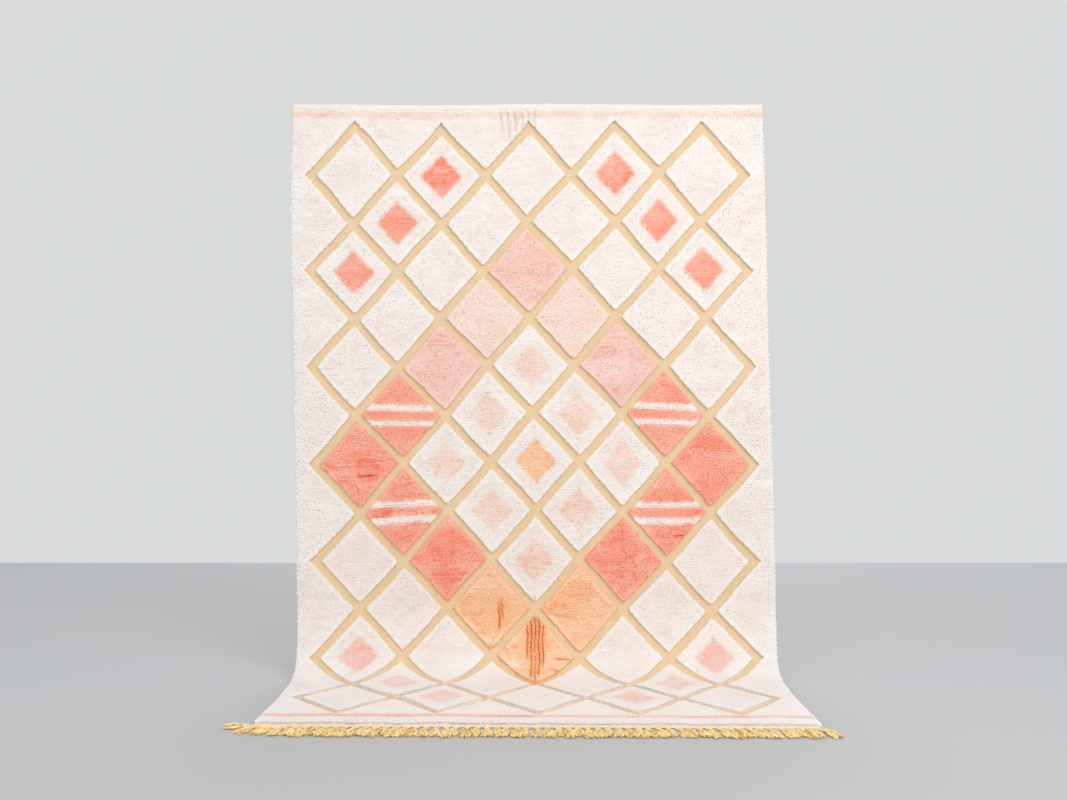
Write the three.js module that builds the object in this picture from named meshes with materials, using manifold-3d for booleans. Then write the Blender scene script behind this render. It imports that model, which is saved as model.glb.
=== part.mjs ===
// A hand-knotted wool rug, hung by its top edge with the pile to the front, its lower end swept forward
// over the floor, and a fringe of knotted tassels along the lower edge.
// Millimetres, +Z up, pile towards -Y, origin on the floor under the middle of the whole part.
// On the flat rug, x runs across from the middle, y down from the top edge and z out from the back.

import * as THREE from 'three';
import { mergeVertices } from 'three/addons/utils/BufferGeometryUtils.js';
import Module from 'manifold-3d';

const { clamp, degToRad, lerp, smoothstep } = THREE.MathUtils;

// The flat rug
const WIDTH = 2000;
const LENGTH = 3040;
const GROUND = 6;
const PILE = 20;

// Sunk flat-woven lines: a lattice of lozenges inside a plain border of pile
const LINE_WIDTH = 36;
const WALL = 5;
const CELLS_ACROSS = 5;
const CELLS_DOWN = 7;
const CELL_WIDTH = 368;
const CELL_HEIGHT = 404;
const TOP_BORDER = 100;

// Section of the rug's edge, from the crown of the pile down to the back
const EDGE = [
  { inset: 14, height: PILE },
  { inset: 3, height: 15 },
  { inset: 0, height: GROUND },
  { inset: 0, height: 0 },
];

// How the rug lies from its top edge down, each stretch turned forward by so many degrees
const LIE = [
  { stretch: 'hanging', length: 2066, turn: 0, rows: 14 },
  { stretch: 'leaving the vertical', length: 240, turn: 25, rows: 6 },
  { stretch: 'tight bend', length: 131, turn: 50, rows: 8 },
  { stretch: 'easing to the floor', length: 78, turn: 15, rows: 4 },
  { stretch: 'foot', length: 525, turn: 0, rows: 5 },
];
const COLUMNS = 12;

// Its two long edges as it hangs, at every tenth of its length
const SIDES = [
  { left: -1018, right: 967 },
  { left: -1024, right: 974 },
  { left: -1021, right: 981 },
  { left: -1010, right: 983 },
  { left: -1004, right: 988 },
  { left: -996, right: 996 },
  { left: -989, right: 1003 },
  { left: -980, right: 1006 },
  { left: -965, right: 992 },
  { left: -954, right: 977 },
  { left: -956, right: 980 },
];
const LOWER_EDGE_SLOPE = { rise: 28, from: 2400 };

// Unevenness of hand work: waves of the hung cloth, lumps of the pile, drift of the woven lines
const WAVES = [
  { size: 5, across: 1.4, down: 0.9, start: 0.6 },
  { size: 3, across: -2.3, down: 2.2, start: 2.1 },
];
const WAVES_END = { from: 1700, to: 2150 };
const LUMPS = [
  { size: 1.2, across: 5.3, down: 6.1, start: 0.4 },
  { size: 0.8, across: -9.7, down: 8.3, start: 1.9 },
];
const DRIFT_ACROSS = [
  { size: 7, across: 0.4, down: 2.1, start: 1.3 },
  { size: 4, across: 2.7, down: 4.3, start: 0.2 },
];
const DRIFT_DOWN = [
  { size: 7, across: 1.1, down: 0.7, start: 2.4 },
  { size: 4, across: 3.4, down: -2.9, start: 0.9 },
];
const DRIFT_FADE = 160;

// Fringe: tassels out of a narrow heading strip, each a cord, a knot and a brush of yarn on the floor
const TASSELS = 57;
const GAP = 0.4;
const HEADING = { depth: 14, height: 4, margin: 6 };
const END_MARGIN = 16;
const TASSEL = [
  { along: -9, width: 6, height: 3.4 },
  { along: 10, width: 7, height: 5 },
  { along: 29, width: 7, height: 6 },
  { along: 34, width: 17, height: 12 },
  { along: 46, width: 17, height: 12 },
  { along: 51, width: 13, height: 9 },
  { along: 92, width: 26, height: 14 },
  { along: 124, width: 20, height: 7 },
];
const LEAN = [
  { tassel: 0, turn: -84 },
  { tassel: 1, turn: -52 },
  { tassel: 2, turn: -27 },
  { tassel: 3, turn: -13 },
  { tassel: 6, turn: -4 },
  { tassel: 28, turn: 0 },
  { tassel: 40, turn: 5 },
  { tassel: 55, turn: 12 },
  { tassel: 56, turn: 24 },
];
const SWAY = { turn: 2.5, pace: 1.1 };
const REACH = { share: 0.05, pace: 2.7 };

const WOOL = { color: 0xf3e8df, roughness: 1, metalness: 0 };
const FRINGE_WOOL = { color: 0xe9bf6b, roughness: 1, metalness: 0 };

const OUTLINE = { left: -WIDTH / 2, right: WIDTH / 2, top: 0, bottom: LENGTH };
const FIELD = {
  left: -CELLS_ACROSS * CELL_WIDTH / 2,
  right: CELLS_ACROSS * CELL_WIDTH / 2,
  top: TOP_BORDER,
  bottom: TOP_BORDER + CELLS_DOWN * CELL_HEIGHT,
};
const LINE_PITCH = CELL_WIDTH * CELL_HEIGHT / Math.hypot(CELL_WIDTH, CELL_HEIGHT);

// Points of the flat rug are kept to a thousandth, so that faces share them exactly
const snap = (value) => Math.round(value * 1000) / 1000;
const flat = (x, y, z) => new THREE.Vector3(snap(x), snap(y), snap(z));

const grown = ({ left, right, top, bottom }, by) => ({
  left: left - by, right: right + by, top: top - by, bottom: bottom + by,
});

// Height of a table of waves at a place on the flat rug
function waveSum(table, x, y) {
  let sum = 0;
  for (const { size, across, down, start } of table) {
    sum += size * Math.sin(2 * Math.PI * (across * x / WIDTH + down * y / LENGTH) + start);
  }
  return sum;
}

// The back of the rug at a distance down its length: its place in the YZ plane and its turn
function lie(distance) {
  let rest = distance;
  let turn = 0;
  let y = 0;
  let z = 0;
  for (const row of LIE) {
    const run = row === LIE.at(-1) ? rest : Math.min(rest, row.length);
    const bend = degToRad(row.turn) * run / row.length;
    const chord = bend === 0 ? run : 2 * run / bend * Math.sin(bend / 2);
    y -= Math.sin(turn + bend / 2) * chord;
    z -= Math.cos(turn + bend / 2) * chord;
    turn += bend;
    rest -= run;
  }
  return { y, z, turn };
}

const FLOOR = lie(LENGTH).z;
const leftSide = new THREE.SplineCurve(SIDES.map(({ left }, i) => new THREE.Vector2(i, left)));
const rightSide = new THREE.SplineCurve(SIDES.map(({ right }, i) => new THREE.Vector2(i, right)));

// A point of the flat rug, where it is on the rug as it hangs
function hung({ x, y, z }) {
  const edge = Math.min(x - OUTLINE.left, OUTLINE.right - x, y, LENGTH - y);
  const fade = smoothstep(edge, 0, DRIFT_FADE);
  const drifted = x + fade * waveSum(DRIFT_ACROSS, x, y);
  const slope = LOWER_EDGE_SLOPE.rise * x / WIDTH * smoothstep(y, LOWER_EDGE_SLOPE.from, LENGTH);
  const back = lie(y + fade * waveSum(DRIFT_DOWN, x, y) + slope);
  const left = leftSide.getPoint(y / LENGTH).y;
  const right = rightSide.getPoint(y / LENGTH).y;
  const loose = 1 - smoothstep(y, WAVES_END.from, WAVES_END.to);
  const out = z + loose * waveSum(WAVES, x, y);
  return new THREE.Vector3(
    lerp(left, right, drifted / WIDTH + 0.5),
    back.y - Math.cos(back.turn) * out,
    back.z - FLOOR + Math.sin(back.turn) * out,
  );
}

// Distance from the middle of the nearest woven line
function lineDistance(x, y) {
  const across = (x - FIELD.left) / CELL_WIDTH;
  const down = (y - FIELD.top) / CELL_HEIGHT;
  const off = (share) => Math.abs(share - Math.floor(share) - 0.5) * LINE_PITCH;
  return Math.min(off(across + down), off(across - down));
}

// A point on the pile side, sunk to the ground along the woven lines of the field
function pilePoint(x, y) {
  const inField = x >= FIELD.left && x <= FIELD.right && y >= FIELD.top && y <= FIELD.bottom;
  const rise = inField ? clamp((lineDistance(x, y) - LINE_WIDTH / 2) / WALL, 0, 1) : 1;
  return flat(x, y, GROUND + rise * (PILE - GROUND + waveSum(LUMPS, x, y)));
}

// The four sides of a rectangle of the flat rug, clockwise as seen from the pile
function loop({ left, right, top, bottom }, across, down, point) {
  const xs = across.map((share) => snap(lerp(left, right, share)));
  const ys = down.map((share) => snap(lerp(top, bottom, share)));
  return [
    xs.map((x) => point(x, top)),
    ys.map((y) => point(right, y)),
    xs.map((x) => point(x, bottom)).reverse(),
    ys.map((y) => point(left, y)).reverse(),
  ];
}

// Where the lozenges' own points meet one side of the field, as shares of that side
function meetings(cells, steps) {
  const places = [0, cells];
  for (let cell = 0; cell <= cells; cell += 1) {
    places.push(...steps.map((step) => cell - 0.5 + step));
  }
  const inside = places.filter((place) => place >= 0 && place <= cells);
  return [...new Set(inside)].sort((a, b) => a - b).map((place) => place / cells);
}

// Rows of points down the rug's length, as shares of it, close together in the bends
function rowShares() {
  const shares = [0];
  let start = 0;
  for (const { length, rows } of LIE) {
    for (let row = 1; row <= rows; row += 1) shares.push((start + length * row / rows) / LENGTH);
    start += length;
  }
  return shares;
}

// Places in one lozenge's edge where its grid has points: woven line, wall of pile, then pile
function lozengeSteps() {
  const lineEdge = LINE_WIDTH / 2 / LINE_PITCH;
  const wallTop = lineEdge + WALL / LINE_PITCH;
  const inner = 0.36;
  return [0, lineEdge, wallTop, inner, 1 - inner, 1 - wallTop, 1 - lineEdge, 1];
}

// The rug's whole skin, triangle by triangle
function rugGeometry() {
  const corners = [];
  const face = (...points) => corners.push(...points.map(hung));

  const steps = lozengeSteps();
  const patch = (a, b, c) => {
    const area = (b.x - a.x) * (c.y - a.y) - (b.y - a.y) * (c.x - a.x);
    if (Math.abs(area) > 0.01) face(a, b, c);
  };
  const lozenge = (middleX, middleY) => {
    const point = (p, q) => pilePoint(
      snap(clamp(middleX + (p - q) * CELL_WIDTH / 2, FIELD.left, FIELD.right)),
      snap(clamp(middleY + (p + q - 1) * CELL_HEIGHT / 2, FIELD.top, FIELD.bottom)),
    );
    for (let i = 1; i < steps.length; i += 1) {
      for (let j = 1; j < steps.length; j += 1) {
        const right = point(steps[i], steps[j - 1]);
        const left = point(steps[i - 1], steps[j]);
        patch(point(steps[i - 1], steps[j - 1]), left, right);
        patch(point(steps[i], steps[j]), right, left);
      }
    }
  };
  for (let row = 0; row <= 2 * CELLS_DOWN; row += 1) {
    for (let column = row % 2; column <= 2 * CELLS_ACROSS; column += 2) {
      lozenge(FIELD.left + column * CELL_WIDTH / 2, FIELD.top + row * CELL_HEIGHT / 2);
    }
  }

  // A band between two loops, stitched side by side across the shorter diagonal
  const band = (inner, outer) => inner.forEach((near, side) => {
    const far = outer[side];
    let i = 0;
    let j = 0;
    while (i < near.length - 1 || j < far.length - 1) {
      const nearNext = i < near.length - 1 ? near[i + 1].distanceTo(far[j]) : Infinity;
      const farNext = j < far.length - 1 ? far[j + 1].distanceTo(near[i]) : Infinity;
      if (nearNext < farNext) {
        face(far[j], near[i], near[i + 1]);
        i += 1;
      } else {
        face(far[j], near[i], far[j + 1]);
        j += 1;
      }
    }
  });
  const middles = steps.slice(1).map((step, i) => (step + steps[i]) / 2);
  const fieldAcross = meetings(CELLS_ACROSS, steps);
  const fieldDown = meetings(CELLS_DOWN, [...steps, ...middles]);
  const columns = Array.from({ length: COLUMNS + 1 }, (_, column) => column / COLUMNS);
  const rows = rowShares();
  const loops = [
    loop(FIELD, fieldAcross, fieldDown, pilePoint),
    loop(grown(FIELD, WALL), fieldAcross, fieldDown, pilePoint),
    ...EDGE.map(({ inset, height }) => loop(
      grown(OUTLINE, -inset), columns, rows, (x, y) => flat(x, y, height),
    )),
  ];
  loops.slice(1).forEach((outer, i) => band(loops[i], outer));

  const backPoint = (column, row) => flat(
    lerp(OUTLINE.left, OUTLINE.right, columns[column]), LENGTH * rows[row], 0,
  );
  for (let row = 1; row < rows.length; row += 1) {
    for (let column = 1; column < columns.length; column += 1) {
      const upper = backPoint(column - 1, row - 1);
      const lower = backPoint(column, row);
      face(upper, lower, backPoint(column - 1, row));
      face(upper, backPoint(column, row - 1), lower);
    }
  }
  return mergeVertices(new THREE.BufferGeometry().setFromPoints(corners), 1e-4);
}

// A row of the lean table between its neighbours
function leanOf(tassel) {
  const next = LEAN.findIndex((row, i) => i > 0 && tassel <= row.tassel);
  const [from, to] = [LEAN[next - 1], LEAN[next]];
  const share = (tassel - from.tassel) / (to.tassel - from.tassel);
  return lerp(from.turn, to.turn, share) + SWAY.turn * Math.sin(SWAY.pace * tassel);
}

// One tassel flat on the floor, of four-sided sections; it leaves its root at the heading's front
function tasselGeometry(rootX, rootY, lean, reach) {
  const turn = degToRad(lean);
  const points = [];
  for (const { along, width, height } of TASSEL) {
    const distance = along * (along > 0 ? reach : 1);
    const x = rootX + Math.sin(turn) * distance;
    const y = rootY - Math.cos(turn) * distance;
    const sideX = Math.cos(turn) * width / 2;
    const sideY = Math.sin(turn) * width / 2;
    points.push(x - sideX, y - sideY, 0, x + sideX, y + sideY, 0);
    points.push(x + sideX, y + sideY, height, x - sideX, y - sideY, height);
  }
  const index = [0, 2, 1, 0, 3, 2];
  const last = 4 * (TASSEL.length - 1);
  for (let section = 0; section < last; section += 4) {
    for (let side = 0; side < 4; side += 1) {
      const [a, b] = [section + side, section + (side + 1) % 4];
      index.push(a, b + 4, a + 4, a, b, b + 4);
    }
  }
  index.push(last, last + 2, last + 3, last, last + 1, last + 2);
  const geometry = new THREE.BufferGeometry();
  geometry.setAttribute('position', new THREE.Float32BufferAttribute(points, 3));
  return geometry.setIndex(index);
}

const wasm = await Module();
wasm.setup();

function toManifold(geometry) {
  const bare = geometry.clone();
  bare.deleteAttribute('normal');
  bare.deleteAttribute('uv');
  const merged = mergeVertices(bare);
  return new wasm.Manifold(new wasm.Mesh({
    numProp: 3,
    vertProperties: new Float32Array(merged.attributes.position.array),
    triVerts: new Uint32Array(merged.index.array),
  }));
}

function fromManifold(solid) {
  const { vertProperties, triVerts } = solid.getMesh();
  const geometry = new THREE.BufferGeometry();
  geometry.setAttribute('position', new THREE.BufferAttribute(vertProperties, 3));
  return geometry.setIndex(new THREE.BufferAttribute(triVerts, 1));
}

// The fringe in its own frame: X along the rug's lower edge from its middle, front towards -Y
function fringeGeometry(edgeLength) {
  const strip = new THREE.BoxGeometry(edgeLength - 2 * HEADING.margin, HEADING.depth, HEADING.height);
  strip.translate(0, -GAP - HEADING.depth / 2, HEADING.height / 2);
  let solid = toManifold(strip);
  const span = edgeLength - 2 * END_MARGIN;
  for (let tassel = 0; tassel < TASSELS; tassel += 1) {
    const rootX = span * (tassel / (TASSELS - 1) - 0.5);
    const reach = 1 + REACH.share * Math.sin(REACH.pace * tassel);
    const lock = tasselGeometry(rootX, -GAP - HEADING.depth, leanOf(tassel), reach);
    solid = solid.add(toManifold(lock));
  }
  return fromManifold(solid);
}

const rug = new THREE.Mesh(rugGeometry(), new THREE.MeshStandardMaterial(WOOL));
rug.name = 'rug';

const lowerLeft = hung(flat(OUTLINE.left, LENGTH, 0));
const lowerRight = hung(flat(OUTLINE.right, LENGTH, 0));
const lowerEdge = lowerRight.clone().sub(lowerLeft);
const fringe = new THREE.Mesh(
  fringeGeometry(lowerEdge.length()), new THREE.MeshStandardMaterial(FRINGE_WOOL),
);
fringe.name = 'fringe';
fringe.position.copy(lowerLeft).add(lowerRight).multiplyScalar(0.5);
fringe.rotation.z = Math.atan2(lowerEdge.y, lowerEdge.x);

const part = new THREE.Group();
part.add(rug, fringe);
const middle = new THREE.Box3().setFromObject(part).getCenter(new THREE.Vector3());
part.position.set(-middle.x, -middle.y, 0);

export default part;
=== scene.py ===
# A hand-knotted wool rug, hung by its top edge with the pile to the front, its lower end swept forward
# over the floor, and a fringe of knotted tassels along the lower edge.
# Pieces are made on the flat rug, in millimetres: x across from the middle, y down from the top edge and
# z out from the back. They are then laid on the shape in which the rug hangs, in metres.

import math

import bmesh
import bpy
import numpy as np
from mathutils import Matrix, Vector


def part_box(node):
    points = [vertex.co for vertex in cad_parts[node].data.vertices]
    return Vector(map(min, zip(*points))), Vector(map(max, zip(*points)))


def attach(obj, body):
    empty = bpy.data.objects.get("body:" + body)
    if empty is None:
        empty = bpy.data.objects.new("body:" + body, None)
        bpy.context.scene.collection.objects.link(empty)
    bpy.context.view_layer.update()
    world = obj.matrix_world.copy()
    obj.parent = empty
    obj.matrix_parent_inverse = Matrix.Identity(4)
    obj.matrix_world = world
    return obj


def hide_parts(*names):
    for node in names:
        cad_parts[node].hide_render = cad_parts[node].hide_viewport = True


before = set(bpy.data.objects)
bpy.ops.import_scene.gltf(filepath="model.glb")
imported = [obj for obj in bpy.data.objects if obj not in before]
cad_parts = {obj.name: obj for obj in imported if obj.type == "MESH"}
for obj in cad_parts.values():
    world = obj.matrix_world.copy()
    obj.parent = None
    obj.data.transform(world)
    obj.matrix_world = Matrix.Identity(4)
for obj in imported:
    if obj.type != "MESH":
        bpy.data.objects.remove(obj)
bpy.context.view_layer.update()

# How the rug hangs
# One heavy sheet of wool, held along its top edge. It falls straight, leaves the vertical in one bend, and
# its last half metre lies flat. Its sides and its face are as uneven as hand work under its own weight.
WIDTH = 2000
LENGTH = 3040
LIE = [
    {"length": 2066, "turn": 0},
    {"length": 240, "turn": 25},
    {"length": 131, "turn": 50},
    {"length": 78, "turn": 15},
    {"length": np.inf, "turn": 0},
]
SIDES = [
    {"left": -1018, "right": 967},
    {"left": -1024, "right": 974},
    {"left": -1021, "right": 981},
    {"left": -1010, "right": 983},
    {"left": -1004, "right": 988},
    {"left": -996, "right": 996},
    {"left": -989, "right": 1003},
    {"left": -980, "right": 1006},
    {"left": -965, "right": 992},
    {"left": -954, "right": 977},
    {"left": -956, "right": 980},
]
SLOPE = {"rise": 28, "from": 2400}
WAVES = [
    {"size": 5, "across": 1.4, "down": 0.9, "start": 0.6},
    {"size": 3, "across": -2.3, "down": 2.2, "start": 2.1},
]
WAVES_END = {"from": 1700, "to": 2150}
DRIFT_ACROSS = [
    {"size": 7, "across": 0.4, "down": 2.1, "start": 1.3},
    {"size": 4, "across": 2.7, "down": 4.3, "start": 0.2},
]
DRIFT_DOWN = [
    {"size": 7, "across": 1.1, "down": 0.7, "start": 2.4},
    {"size": 4, "across": 3.4, "down": -2.9, "start": 0.9},
]
DRIFT_FADE = 160
SIDE_POINTS = 200


def smooth_step(value, start, end):
    """A share that grows smoothly from 0 at start to 1 at end."""
    share = np.clip((value - start) / (end - start), 0, 1)
    return share * share * (3 - 2 * share)


def wave_sum(table, x, y):
    """Height of a table of waves at places on the flat rug."""
    return sum(
        wave["size"]
        * np.sin(2 * np.pi * (wave["across"] * x / WIDTH + wave["down"] * y / LENGTH) + wave["start"])
        for wave in table
    )


def side_line(side, share):
    """One long edge of the hung rug, as a smooth curve through the places in the table of sides."""
    places = [row[side] for row in SIDES]
    padded = np.array([places[0], *places, places[-1], places[-1]], float)
    along = np.clip(share, 0, 1) * (len(places) - 1)
    row = np.floor(along).astype(int)
    t = along - row
    before, here, after, beyond = (padded[row + step] for step in range(4))
    leave, arrive = (after - before) / 2, (beyond - here) / 2
    curve = (2 * (here - after) + leave + arrive) * t + (3 * (after - here) - 2 * leave - arrive)
    return (curve * t + leave) * t + here


def lie(distance):
    """The rug's back at distances down its length: forward place, height and turn."""
    turn, y, z = (np.zeros_like(distance) for _ in range(3))
    start = 0
    for stretch in LIE:
        lowest = -np.inf if start == 0 else 0
        run = np.clip(distance - start, lowest, stretch["length"])
        bend = math.radians(stretch["turn"]) * run / stretch["length"]
        chord = run * np.sinc(bend / 2 / np.pi)
        y = y - np.sin(turn + bend / 2) * chord
        z = z - np.cos(turn + bend / 2) * chord
        turn = turn + bend
        start += stretch["length"]
    return y, z, turn


def as_hung(points):
    """Points of the flat rug where they are on the hung one, from the middle of its top edge, in mm."""
    x, y, z = np.moveaxis(np.asarray(points, float), -1, 0)
    edge = np.minimum(np.minimum(x + WIDTH / 2, WIDTH / 2 - x), np.minimum(y, LENGTH - y))
    fade = smooth_step(edge, 0, DRIFT_FADE)
    share = (x + fade * wave_sum(DRIFT_ACROSS, x, y)) / WIDTH + 0.5
    slope = SLOPE["rise"] * x / WIDTH * smooth_step(y, SLOPE["from"], LENGTH)
    back_y, back_z, turn = lie(y + fade * wave_sum(DRIFT_DOWN, x, y) + slope)
    left, right = side_line("left", y / LENGTH), side_line("right", y / LENGTH)
    loose = 1 - smooth_step(y, WAVES_END["from"], WAVES_END["to"])
    out = z + loose * wave_sum(WAVES, x, y)
    return np.stack([
        left + (right - left) * share,
        back_y - np.cos(turn) * out,
        back_z + np.sin(turn) * out,
    ], axis=-1)


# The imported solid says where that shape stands: its foremost point is the rug's lower right corner, and its
# leftmost one is on the rug's left side
rug_low = np.array(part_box("rug")[0])
side_down = np.linspace(0, LENGTH, SIDE_POINTS)
left_side = as_hung(np.stack([0 * side_down - WIDTH / 2, side_down, 0 * side_down], axis=-1))
leftmost, foremost = left_side[:, 0].min(), as_hung([WIDTH / 2, LENGTH, 0])
PLACE = np.array([rug_low[0] - leftmost / 1000, rug_low[1] - foremost[1] / 1000, -foremost[2] / 1000])


def hung(points):
    """Points of the flat rug, in mm, where they are in the frame, in metres."""
    return as_hung(points) / 1000 + PLACE


# Ground weave
# The cloth that carries the pile, of tan wool weft beaten down on wool warp. It shows as sunk flat-woven
# lines where no knots are tied and as a narrow end at the top. Between the lines it is thickened by the
# knots' own loops, which show from behind as rows of small nodules in the colours of the pile.
GROUND = 5
BED = 15  # how high the knots are packed before their tips part
KNOT_PITCH = 9
ROW_PITCH = 10
GRID = 40
BEND_STEP = 20
SNAP = 0.01
ACROSS, DOWN = (1, 0, 0), (0, 1, 0)
END_WEAVE = 5
SELVEDGE = 6
CELL_WIDTH = 368
CELL_HEIGHT = 404
CELLS_ACROSS = 5
CELLS_DOWN = 7
TOP_BORDER = 100
FIELD_LEFT = -CELLS_ACROSS * CELL_WIDTH / 2
FIELD_BOTTOM = TOP_BORDER + CELLS_DOWN * CELL_HEIGHT
FIELD_TIP = 30  # how far the corners of the outer lines reach beyond the field
LINE_WIDTH = 36
LINE_PITCH = CELL_WIDTH * CELL_HEIGHT / math.hypot(CELL_WIDTH, CELL_HEIGHT)
EYE = 0.23  # half the width of an eye, as a share of its lozenge
EYE_DYES = [
    {"ring": 0, "above": 2 * CELLS_DOWN, "dye": "orange"},
    {"ring": 2, "above": 2 * CELLS_DOWN, "dye": "peach"},
    {"ring": 8, "above": CELLS_DOWN, "dye": "coral"},
    {"ring": 8, "above": 2 * CELLS_DOWN, "dye": "pink"},
]
FILLED_RING = 4
FILLED_DYES = [
    {"above": 4, "dye": "pink"},
    {"above": 5, "dye": "peach"},
    {"above": 6, "dye": "pink"},
    {"above": 10, "dye": "coral"},
    {"above": 2 * CELLS_DOWN, "dye": "orange"},
]
BANDS = [{"from": 38, "to": 60, "dye": "peach"}, {"from": 2968, "to": 2994, "dye": "coral"}]
STRIPE = {"rows": [6, 8], "apart": 66, "width": 24}
DYES = {
    "cream": "#fbf3ee",
    "coral": "#ffb8a2",
    "pink": "#fcd7cc",
    "peach": "#fce5d9",
    "orange": "#ffd6b2",
}
WAVE_MM = 314.16  # a wave texture at scale 1 repeats after this length on a map in metres
SHARP_ANGLE = 40
SOFT_ABOVE = 0.5  # the share of a tuft's height at which its soft shading is full


def linear(colour):
    """A colour written as sRGB hex, as linear red, green, blue and 1."""
    levels = [int(colour[i:i + 2], 16) / 255 for i in (1, 3, 5)]
    return [v / 12.92 if v <= 0.04045 else ((v + 0.055) / 1.055) ** 2.4 for v in levels] + [1.0]


PALETTE = [linear(colour) for colour in DYES.values()]


def lattice(x, y):
    """Places on the flat rug in the lozenge lattice, whose lines lie at the halves of both values."""
    across, down = (x - FIELD_LEFT) / CELL_WIDTH, (y - TOP_BORDER) / CELL_HEIGHT
    return across + down, across - down


def in_field(x, y, beyond=0):
    """Whether places on the flat rug are in the lattice's field, or that far beyond its borders."""
    return (abs(x) < beyond - FIELD_LEFT) & (y > TOP_BORDER - beyond) & (y < FIELD_BOTTOM + beyond)


def from_line(x, y):
    """Distance from the middle of the nearest woven line, or outside the field from where two lines meet."""
    rising, falling = (abs(value % 1 - 0.5) for value in lattice(x, y))
    return LINE_PITCH * np.where(in_field(x, y), np.minimum(rising, falling), np.maximum(rising, falling))


def dye_at(x, y):
    """Which dye the knots at these places are tied in, as its place in DYES."""
    rising, falling = lattice(x, y)
    near_rising, near_falling = np.rint(rising), np.rint(falling)
    column, row = near_rising + near_falling, near_rising - near_falling
    from_middle = np.maximum(abs(rising - near_rising), abs(falling - near_falling))
    whole = (column > 0) & (column < 2 * CELLS_ACROSS) & (row > 0) & (row < 2 * CELLS_DOWN)
    ring = abs(column - CELLS_ACROSS) + abs(row - CELLS_DOWN)
    filled = in_field(x, y) & whole & (ring == FILLED_RING)
    eye = in_field(x, y) & whole & (from_middle < EYE)
    below = y - (TOP_BORDER + row * CELL_HEIGHT / 2)
    in_stripe = abs(abs(below) - STRIPE["apart"] / 2) < STRIPE["width"] / 2
    areas = [(filled & np.isin(row, STRIPE["rows"]) & in_stripe, "cream")]
    areas += [(filled & (row < step["above"]), step["dye"]) for step in FILLED_DYES]
    areas += [(eye & (ring == step["ring"]) & (row < step["above"]), step["dye"]) for step in EYE_DYES]
    areas += [((y > band["from"]) & (y < band["to"]), band["dye"]) for band in BANDS]
    names = list(DYES)
    chosen = [names.index(name) for _, name in areas]
    return np.select([area for area, _ in areas], chosen, names.index("cream"))


def cut(mesh, faces, point, across):
    """Cuts the faces along the plane through the point, square to the given way across it."""
    edges = dict.fromkeys(edge for face in faces for edge in face.edges)
    corners = dict.fromkeys(corner for face in faces for corner in face.verts)
    bmesh.ops.bisect_plane(
        mesh, geom=[*faces, *edges, *corners], dist=SNAP, plane_co=point, plane_no=across,
    )


def faces_in_field(mesh, beyond=0):
    """The faces whose middles are in the lattice's field, or that far beyond its borders."""
    return [face for face in mesh.faces if in_field(*face.calc_center_median()[:2], beyond)]


def cut_design(mesh):
    """Cuts the cloth at its bend, edges, bands, lines, eyes and stripes, so that a face is all of a kind."""
    bend_start = LIE[0]["length"]
    bend_end = sum(stretch["length"] for stretch in LIE[:-1])
    for y in np.arange(bend_start, bend_end, BEND_STEP):
        cut(mesh, mesh.faces[:], (0, y, 0), DOWN)
    for x in (SELVEDGE - WIDTH / 2, WIDTH / 2 - SELVEDGE, FIELD_LEFT - FIELD_TIP, FIELD_TIP - FIELD_LEFT):
        cut(mesh, mesh.faces[:], (x, 0, 0), ACROSS)
    band_edges = [band[end] for band in BANDS for end in ("from", "to")]
    for y in (END_WEAVE, LENGTH - END_WEAVE, TOP_BORDER - FIELD_TIP, FIELD_BOTTOM + FIELD_TIP, *band_edges):
        cut(mesh, mesh.faces[:], (0, y, 0), DOWN)
    line_share = LINE_WIDTH / 2 / LINE_PITCH
    for way in (1, -1):
        for line in range(-CELLS_DOWN, CELLS_ACROSS + CELLS_DOWN + 1):
            for offset in (0.5 - line_share, 0.5 + line_share, -EYE, EYE):
                start = FIELD_LEFT + (line + offset) * CELL_WIDTH
                slanting = (1 / CELL_WIDTH, way / CELL_HEIGHT, 0)
                cut(mesh, faces_in_field(mesh, FIELD_TIP), (start, TOP_BORDER, 0), slanting)
    for row in STRIPE["rows"]:
        for edge in (STRIPE["apart"] - STRIPE["width"], STRIPE["apart"] + STRIPE["width"]):
            for side in (-1, 1):
                y = TOP_BORDER + row * CELL_HEIGHT / 2 + side * edge / 2
                cut(mesh, faces_in_field(mesh), (0, y, 0), DOWN)


def middles(faces):
    """The middles of the faces across and down the flat rug."""
    return np.array([face.calc_center_median()[:2] for face in faces], float).T


def raised(mesh, faces, height):
    """Extrudes the faces as one region out from the rug's back."""
    made = bmesh.ops.extrude_face_region(mesh, geom=faces)["geom"]
    tops = [item for item in made if isinstance(item, bmesh.types.BMVert)]
    bmesh.ops.translate(mesh, verts=tops, vec=(0, 0, height))
    return [item for item in made if isinstance(item, bmesh.types.BMFace)]


def woven_cloth():
    """The flat cloth, as thick as its weave and thicker where knots are tied on it."""
    mesh = bmesh.new()
    bmesh.ops.create_grid(mesh, x_segments=WIDTH // GRID, y_segments=LENGTH // GRID, size=0.5)
    bmesh.ops.scale(mesh, verts=mesh.verts, vec=(WIDTH, LENGTH, 1))
    bmesh.ops.translate(mesh, verts=mesh.verts, vec=(0, LENGTH / 2, 0))
    cut_design(mesh)
    ground = raised(mesh, mesh.faces[:], GROUND)
    x, y = middles(ground)
    knotted = (
        (from_line(x, y) > LINE_WIDTH / 2) & (abs(x) < WIDTH / 2 - SELVEDGE)
        & (y > END_WEAVE) & (y < LENGTH - END_WEAVE)
    )
    under_pile = [face for face, is_knotted in zip(ground, knotted) if is_knotted]
    raised(mesh, under_pile, BED - GROUND)
    bmesh.ops.delete(mesh, geom=under_pile, context="FACES")
    bmesh.ops.recalc_face_normals(mesh, faces=mesh.faces)
    return mesh


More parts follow.
